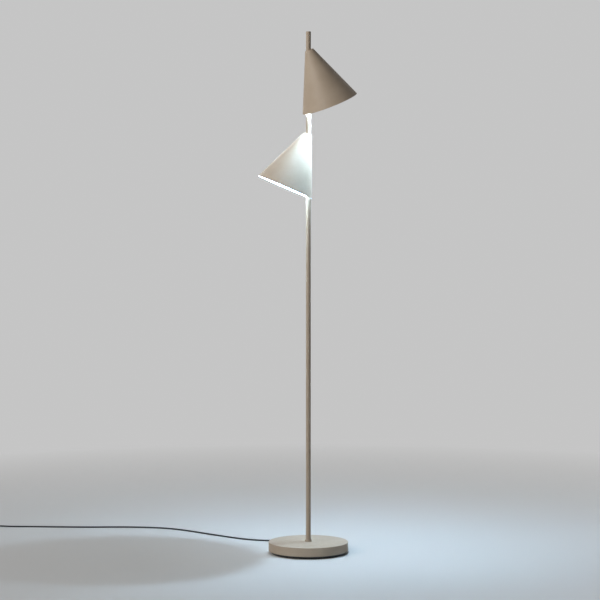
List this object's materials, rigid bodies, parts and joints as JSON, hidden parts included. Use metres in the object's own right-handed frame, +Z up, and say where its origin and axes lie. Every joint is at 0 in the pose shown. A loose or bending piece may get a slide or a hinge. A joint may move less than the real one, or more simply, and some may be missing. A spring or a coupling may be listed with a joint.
{
  "type": "floor lamp",
  "caption": "Tall slim floor lamp: a round weighted base, one thin pole, and small conical shades that hang to one side of it and swivel about it.",
  "frame": {"origin": "middle of the foot pad's underside, on the floor and on the pole's axis", "axes": "+Z up along the pole, +X to the lamp's right, +Y to its back, where the cord leaves the base"},
  "size_m": [1.2709, 0.576, 1.5],
  "materials": {
    "powder_coat": "fine matt sand-coloured powder coat",
    "cast_iron": "as cast, oiled",
    "black_plastic": "matt moulded",
    "foot_rubber": "closed-cell sheet",
    "zinc_steel": "zinc plated",
    "tube_steel": "machined",
    "cord_jacket": "matt extruded jacket",
    "tie_strap": "woven hook-and-loop",
    "switch_key": "fine satin",
    "pin_metal": "nickel plated",
    "spring_steel": "blank",
    "nylon": "natural",
    "bare_aluminium": "turned",
    "white_plastic": "satin",
    "board_white": "solder mask",
    "led_phosphor": "silicone",
    "opal": "opal diffuser"
  },
  "bodies": {
    "stand": {"base_cover": "powder_coat", "pole_collar": "powder_coat", "pole_lower": "powder_coat", "pole_upper": "powder_coat", "pole_cap": "powder_coat", "base_weight": "cast_iron", "plinth": "black_plastic", "cord_clamp": "black_plastic", "cord_relief": "black_plastic", "switch_base": "black_plastic", "switch_cover": "black_plastic", "switch_contacts": "black_plastic", "plug_body": "black_plastic", "foot_pad": "foot_rubber", "plinth_screws": "zinc_steel", "fixing_nipple": "zinc_steel", "nipple_washer": "zinc_steel", "nipple_nut": "zinc_steel", "clamp_screws": "zinc_steel", "switch_screws": "zinc_steel", "pole_insert": "tube_steel", "pole_joiner": "tube_steel", "cord_inlet": "cord_jacket", "cord_run": "cord_jacket", "cord_link": "cord_jacket", "cord_tail": "cord_jacket", "cord_coil": "cord_jacket", "pole_lead": "cord_jacket", "coil_tie": "tie_strap", "plug_pins": "pin_metal", "upper_snap_ring": "spring_steel", "upper_stop_pin": "spring_steel", "lower_snap_ring": "spring_steel", "lower_stop_pin": "spring_steel"},
    "upper_shade": {"upper_shade_shell": "powder_coat", "upper_shade_hub": "powder_coat", "upper_friction_pad": "nylon", "upper_friction_screw": "zinc_steel", "upper_module_post": "zinc_steel", "upper_post_nuts": "zinc_steel", "upper_board_screws": "zinc_steel", "upper_heat_sink": "bare_aluminium", "upper_led_bezel": "white_plastic", "upper_led_board": "board_white", "upper_led_chip": "led_phosphor", "upper_diffuser": "opal"},
    "lower_shade": {"lower_shade_shell": "powder_coat", "lower_shade_hub": "powder_coat", "lower_friction_pad": "nylon", "lower_friction_screw": "zinc_steel", "lower_module_post": "zinc_steel", "lower_post_nuts": "zinc_steel", "lower_board_screws": "zinc_steel", "lower_heat_sink": "bare_aluminium", "lower_led_bezel": "white_plastic", "lower_led_board": "board_white", "lower_led_chip": "led_phosphor", "lower_diffuser": "opal"},
    "foot_switch_button": {"switch_button": "switch_key"}
  },
  "joints": [
    {"name": "upper_shade_swivel", "type": "hinge", "parent": "stand", "child": "upper_shade", "pos_m": [0, 0, 1.428], "axis": [0, 0, 1], "range_deg": [-155, 155]},
    {"name": "lower_shade_swivel", "type": "hinge", "parent": "stand", "child": "lower_shade", "pos_m": [0, 0, 1.1877], "axis": [0, 0, 1], "range_deg": [-155, 155]},
    {"name": "foot_switch_press", "type": "slide", "parent": "stand", "child": "foot_switch_button", "axis": [0, 0, -1], "range_m": [0, 0.0025], "stiffness_N_per_m": 1500, "springref_m": -0.001}
  ]
}
